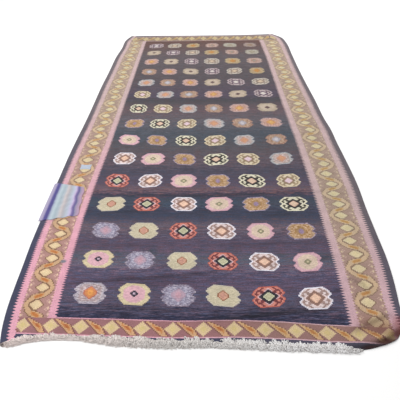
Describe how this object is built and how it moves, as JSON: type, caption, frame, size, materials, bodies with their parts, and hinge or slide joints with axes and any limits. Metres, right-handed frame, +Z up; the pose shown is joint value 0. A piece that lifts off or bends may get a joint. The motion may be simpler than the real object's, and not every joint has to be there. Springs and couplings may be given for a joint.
{
  "type": "kilim",
  "caption": "Long flat-woven wool kilim lying open, with low folds, a matted fringe at one end and sewn-on mending patches.",
  "frame": {"origin": "on the floor under the middle of the rug's box", "axes": "+Y along the rug towards its plain end, with the fringe at -Y; +X across it; +Z up, out of the face that shows"},
  "size_m": [1.7092, 3.8882, 0.0084],
  "materials": {
    "kilim_wool": "weft-faced flat weave of dyed wool",
    "fringe_warp": "matted undyed warp ends",
    "patch_cotton": "worn striped cotton",
    "small_patch_cotton": "worn plain cotton"
  },
  "bodies": {
    "root": {"kilim_cloth": "kilim_wool", "near_fringe": "fringe_warp", "repair_patch": "patch_cotton", "small_patch": "small_patch_cotton"}
  },
  "joints": []
}
